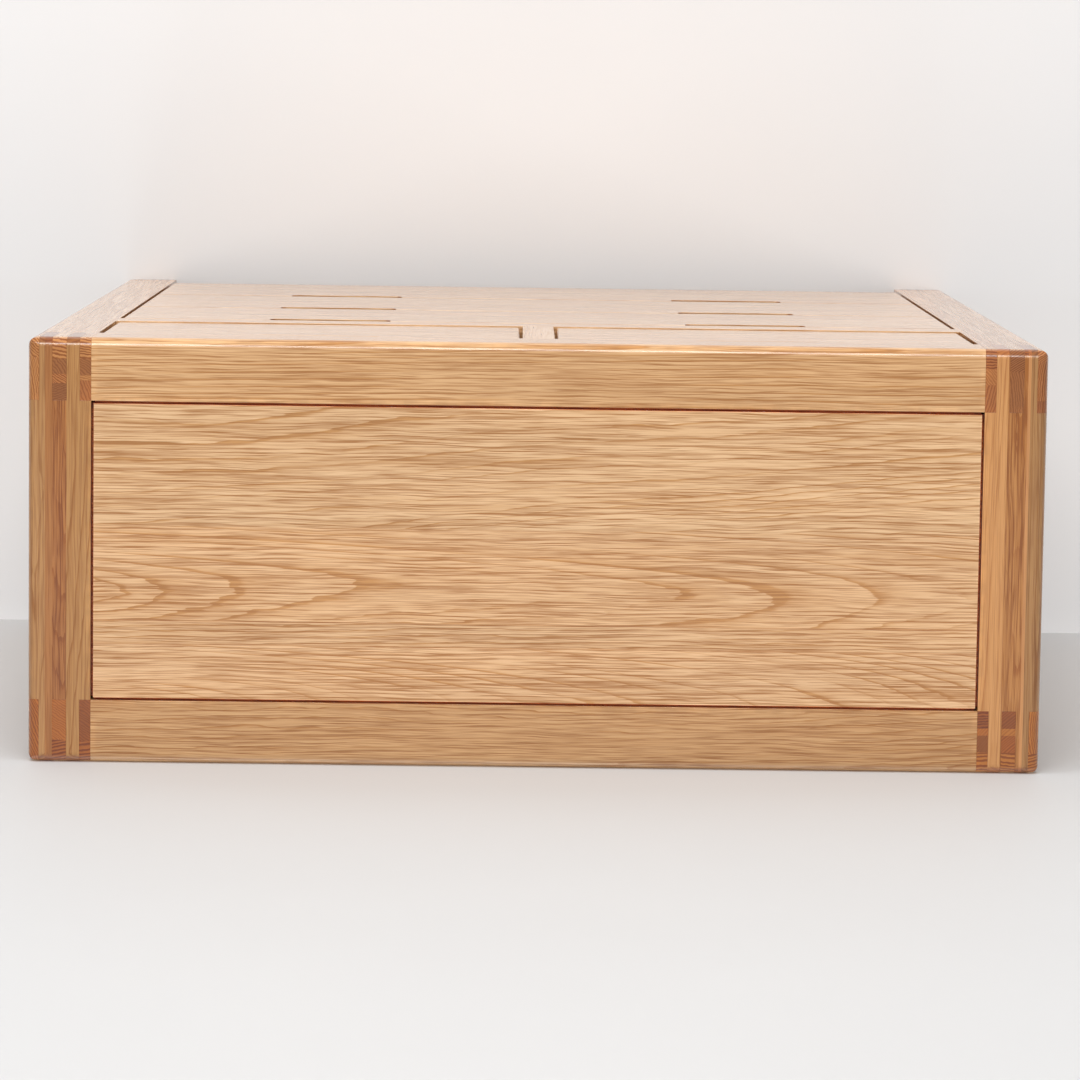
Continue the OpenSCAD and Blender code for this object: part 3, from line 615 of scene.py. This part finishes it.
for i, hand in enumerate(("left", "right")):
    node = f"side_panel_{hand}"
    boards = [Board(100, PALE, (-60, 55 - 10 * i), 0.05),
              Board(104, (0.93, 0.93, 0.88), (30, 60), 0.04),
              Board(94, (1.0, 0.99, 0.94), (80, 50 + 12 * i), -0.05)]
    dress(node, wood(node, "Z", boards, across="Y", inset=(0, TONGUE, TONGUE), seed=11 + i))
    soften(node, SANDED_EDGE)
    node = f"back_panel_{hand}"
    boards = [Board(140, (0.95, 0.93, 0.88), (-70, 62), 0.05),
              Board(150, PALE, (60, 58 + 6 * i), -0.04),
              Board(135, (0.90, 0.88, 0.82), (120, 70), 0.05)]
    dress(node, wood(node, "Z", boards, across="X", finish=SEALED, seed=13 + i))

# The partition between the small drawers and the board that closes the underside
dress("partition", wood("partition", "Y", [Board(180, PALE, (0, -60))], finish=SEALED, seed=15))
soften("partition", SANDED_EDGE)
boards = [Board(85, tint, (40 * (-1) ** i, -60 - 6 * i), 0.04)
          for i, tint in enumerate((PALE, HONEY, PALE, SAND))]
dress("bottom_board", wood("bottom_board", "X", boards, across="Y", finish=SEALED, seed=16))

# Runners and dowels
for i, node in enumerate(("runners_left", "runners_right", "runners_middle")):
    boards = [Board(40, YELLOW, (30, -80), 0.01, 0.7)]
    dress(node, wood(node, "Y", boards, finish=SEALED, seed=17 + 0.4 * i))
    soften(node, RUNNER_EDGE)
boards = [Board(40, YELLOW, (30, -80))]
dress("corner_dowels", wood("corner_dowels", "X", boards, finish=SEALED, seed=19))

# ---------------------------------------------------------------- the drawers

# The boards of each drawer's front, from its lower edge to its upper one
FRONT_BOARDS = {
    "small_left": [Board(95, PALE, (-40, 50), 0.04),
                   Board(94, (0.95, 0.94, 0.9), (55, 46), -0.05)],
    "small_right": [Board(88, (0.97, 0.96, 0.92), (-50, 56), -0.05),
                    Board(101, PALE, (40, 52), 0.04)],
    "long_upper": [Board(100, (0.96, 0.95, 0.92), (-40, 58), 0.05),
                   Board(109, PALE, (60, 60), -0.04)],
    "long_middle": [Board(120, PALE, (-60, 52), -0.045),
                    Board(116, (0.95, 0.94, 0.9), (50, 62), 0.05)],
    "long_lower": [Board(84, (0.95, 0.94, 0.9), (-80, 60), 0.05),
                   Board(83, PALE, (0, 48), 0.05),
                   Board(84, (0.98, 0.97, 0.93), (85, 62), -0.05)],
}
# Painted shade darkens the edges of the fronts, so that the gaps round them show dark
FRONT_EDGE_SHADE = -0.35

for i, (drawer, front_boards) in enumerate(FRONT_BOARDS.items()):
    node = f"{drawer}_front"
    dress(node, wood(node, "X", front_boards, across="Z", edge_tone=FRONT_EDGE_SHADE, seed=20 + i))
    soften(node, SANDED_EDGE)
    for j, hand in enumerate(("left", "right")):
        node = f"{drawer}_side_{hand}"
        boards = [Board(90, PALE, (50 - 20 * i, 70)),
                  Board(80, YELLOW, (-60, 60 + 4 * j), -0.03)]
        dress(node, wood(node, "Y", boards, across="Z", finish=SEALED, seed=26 + i + 0.5 * j))
        soften(node, SANDED_EDGE)
    node = f"{drawer}_back"
    dress(node, wood(node, "X", [Board(100, PALE, (20, 70))], finish=SEALED, seed=33 + i))
    soften(node, SANDED_EDGE)
    node = f"{drawer}_bottom"
    boards = [Board(84, tint, (30 * (-1) ** k, -70))
              for k, tint in enumerate((PALE, SAND, PALE, YELLOW))]
    dress(node, wood(node, "X", boards, across="Y", finish=SEALED, seed=39 + i))


def plated_screws():
    """Zinc plated steel with fine turning marks and a few rubbed spots."""
    material, t = blank_material("plated_steel")
    coords = t.add("ShaderNodeTexCoord").outputs
    turned = t.noise(t.scaled(coords["Object"], (300, 2600, 2600)), 2.0)
    spots = t.noise(t.scaled(coords["Object"], (500, 500, 500)), 2.0)
    shader = t.add("ShaderNodeBsdfPrincipled")
    t.feed(shader.inputs["Base Color"], t.mix(spots, (0.62, 0.52, 0.34, 1), (0.80, 0.76, 0.66, 1)))
    t.feed(shader.inputs["Roughness"], t.lerp(turned, 0.22, 0.42))
    shader.inputs["Metallic"].default_value = 1.0
    bump = t.add("ShaderNodeBump")
    bump.inputs["Strength"].default_value = 0.3
    bump.inputs["Distance"].default_value = 0.05 * MM
    t.feed(bump.inputs["Height"], turned)
    t.feed(shader.inputs["Normal"], bump.outputs[0])
    t.feed(t.add("ShaderNodeOutputMaterial").inputs["Surface"], shader.outputs[0])
    return material


dress("runner_screws", plated_screws())

# ---------------------------------------------------------------- stage, light and camera


def stage_material(name, colour):
    """A pale matt surface. It can't be seen from behind, so that it hides nothing."""
    material, t = blank_material(name)
    coords = t.add("ShaderNodeTexCoord").outputs
    mottle = t.noise(t.scaled(coords["Object"], (3, 3, 3)), 3.0)
    darker = tuple(c * 0.97 for c in colour)
    shader = t.add("ShaderNodeBsdfPrincipled")
    t.feed(shader.inputs["Base Color"], t.mix(mottle, (*colour, 1), (*darker, 1)))
    shader.inputs["Roughness"].default_value = 0.6
    clear = t.add("ShaderNodeBsdfTransparent").outputs[0]
    either = t.add("ShaderNodeMixShader")
    t.feed(either.inputs[0], t.add("ShaderNodeNewGeometry").outputs["Backfacing"])
    t.feed(either.inputs[1], shader.outputs[0])
    t.feed(either.inputs[2], clear)
    t.feed(t.add("ShaderNodeOutputMaterial").inputs["Surface"], either.outputs[0])
    return material


def sheet(name, corners, material):
    """A flat piece of the stage, seen from the side from which its corners run anticlockwise."""
    mesh = bpy.data.meshes.new(name)
    mesh.from_pydata(corners, [], [tuple(range(len(corners)))])
    mesh.materials.append(material)
    piece = bpy.data.objects.new(name, mesh)
    bpy.context.scene.collection.objects.link(piece)
    return piece


# The stage stands off the chest by a hair, so that no two surfaces share a plane
STAND_OFF = 0.5 * MM
# How far the floor reaches to every side, in metres
REACH = 14.0
floor_z = cad_low[2] - STAND_OFF
sheet("floor", [(-REACH, -REACH, floor_z), (REACH, -REACH, floor_z),
                (REACH, REACH, floor_z), (-REACH, REACH, floor_z)],
      stage_material("pale_floor", (0.73, 0.72, 0.715)))
# The pale surface against the chest's back, on which it seems to lie when it is seen from above
BACK_WIDE, BACK_HIGH = 6.0, 9.0
back_y = cad_high[1] + STAND_OFF
back_surface = sheet("back_surface", [(-BACK_WIDE, back_y, floor_z), (BACK_WIDE, back_y, floor_z),
                                      (BACK_WIDE, back_y, BACK_HIGH), (-BACK_WIDE, back_y, BACK_HIGH)],
                     stage_material("pale_surface", (0.57, 0.565, 0.56)))
# It is seen, and mirrored in the lacquer, but it neither shades the chest nor lights it
back_surface.visible_shadow = False
back_surface.visible_diffuse = False

# The place in the upper part of the chest that most lights are aimed at
CENTRE = (0, 0, 0.9)
# Each light: name, place and aim in metres, width and height in metres, power in watts, and whether it
# shows in the gloss. Right and left are those of the camera's picture.
LIGHTS = (
    ("front", (0.3, -3.9, 1.8), (0, 0, 0.5), (3.4, 1.6), 114, False),
    ("front_high", (0.3, -2.6, 4.2), CENTRE, (2.6, 1.1), 87, True),
    ("high_right", (-3.3, 0.2, 4.6), CENTRE, (1.3, 1.3), 53, False),
    ("high_left", (3.3, 0.2, 4.6), CENTRE, (1.3, 1.3), 44, False),
    ("rear", (0.4, 4.0, 1.6), CENTRE, (2.6, 1.6), 60, True),
)
for name, place, aim, size, power, in_gloss in LIGHTS:
    light = bpy.data.lights.new(name, "AREA")
    light.shape = "RECTANGLE"
    light.size, light.size_y = size
    light.energy = power
    lamp = bpy.data.objects.new(name, light)
    lamp.location = place
    lamp.rotation_mode = "QUATERNION"
    lamp.rotation_quaternion = (Vector(aim) - Vector(place)).to_track_quat("-Z", "Y")
    lamp.visible_camera = False
    lamp.visible_glossy = in_gloss
    bpy.context.scene.collection.objects.link(lamp)

world = bpy.data.worlds.new("studio")
bpy.context.scene.world = world
world.use_nodes = True
sky = world.node_tree.nodes["Background"].inputs
sky["Color"].default_value = (0.95, 0.97, 1.0, 1)
sky["Strength"].default_value = 0.36
bpy.context.scene.view_settings.view_transform = "Standard"

# The camera looks down on the framed top from just in front of the drawers, as the photo does. Its
# right is the chest's -X, and it is rolled by less than a degree.
LENS = 149.2
SENSOR = 36
EYE = Vector((0.022, -0.498, 5.464))
AIM = Vector((-0.0035, -0.0165, 1.090))
ROLL = math.radians(0.746)

camera_data = bpy.data.cameras.new("camera")
camera_data.sensor_width = SENSOR
camera_data.lens = LENS
camera = bpy.data.objects.new("camera", camera_data)
away = (EYE - AIM).normalized()
level = Vector((-1, 0, 0))
level = (level - level.dot(away) * away).normalized()
picture_right = math.cos(ROLL) * level + math.sin(ROLL) * away.cross(level)
picture_up = away.cross(picture_right)
turned = Matrix((picture_right, picture_up, away)).transposed().to_4x4()
camera.matrix_world = Matrix.Translation(EYE) @ turned
bpy.context.scene.collection.objects.link(camera)
bpy.context.scene.camera = camera
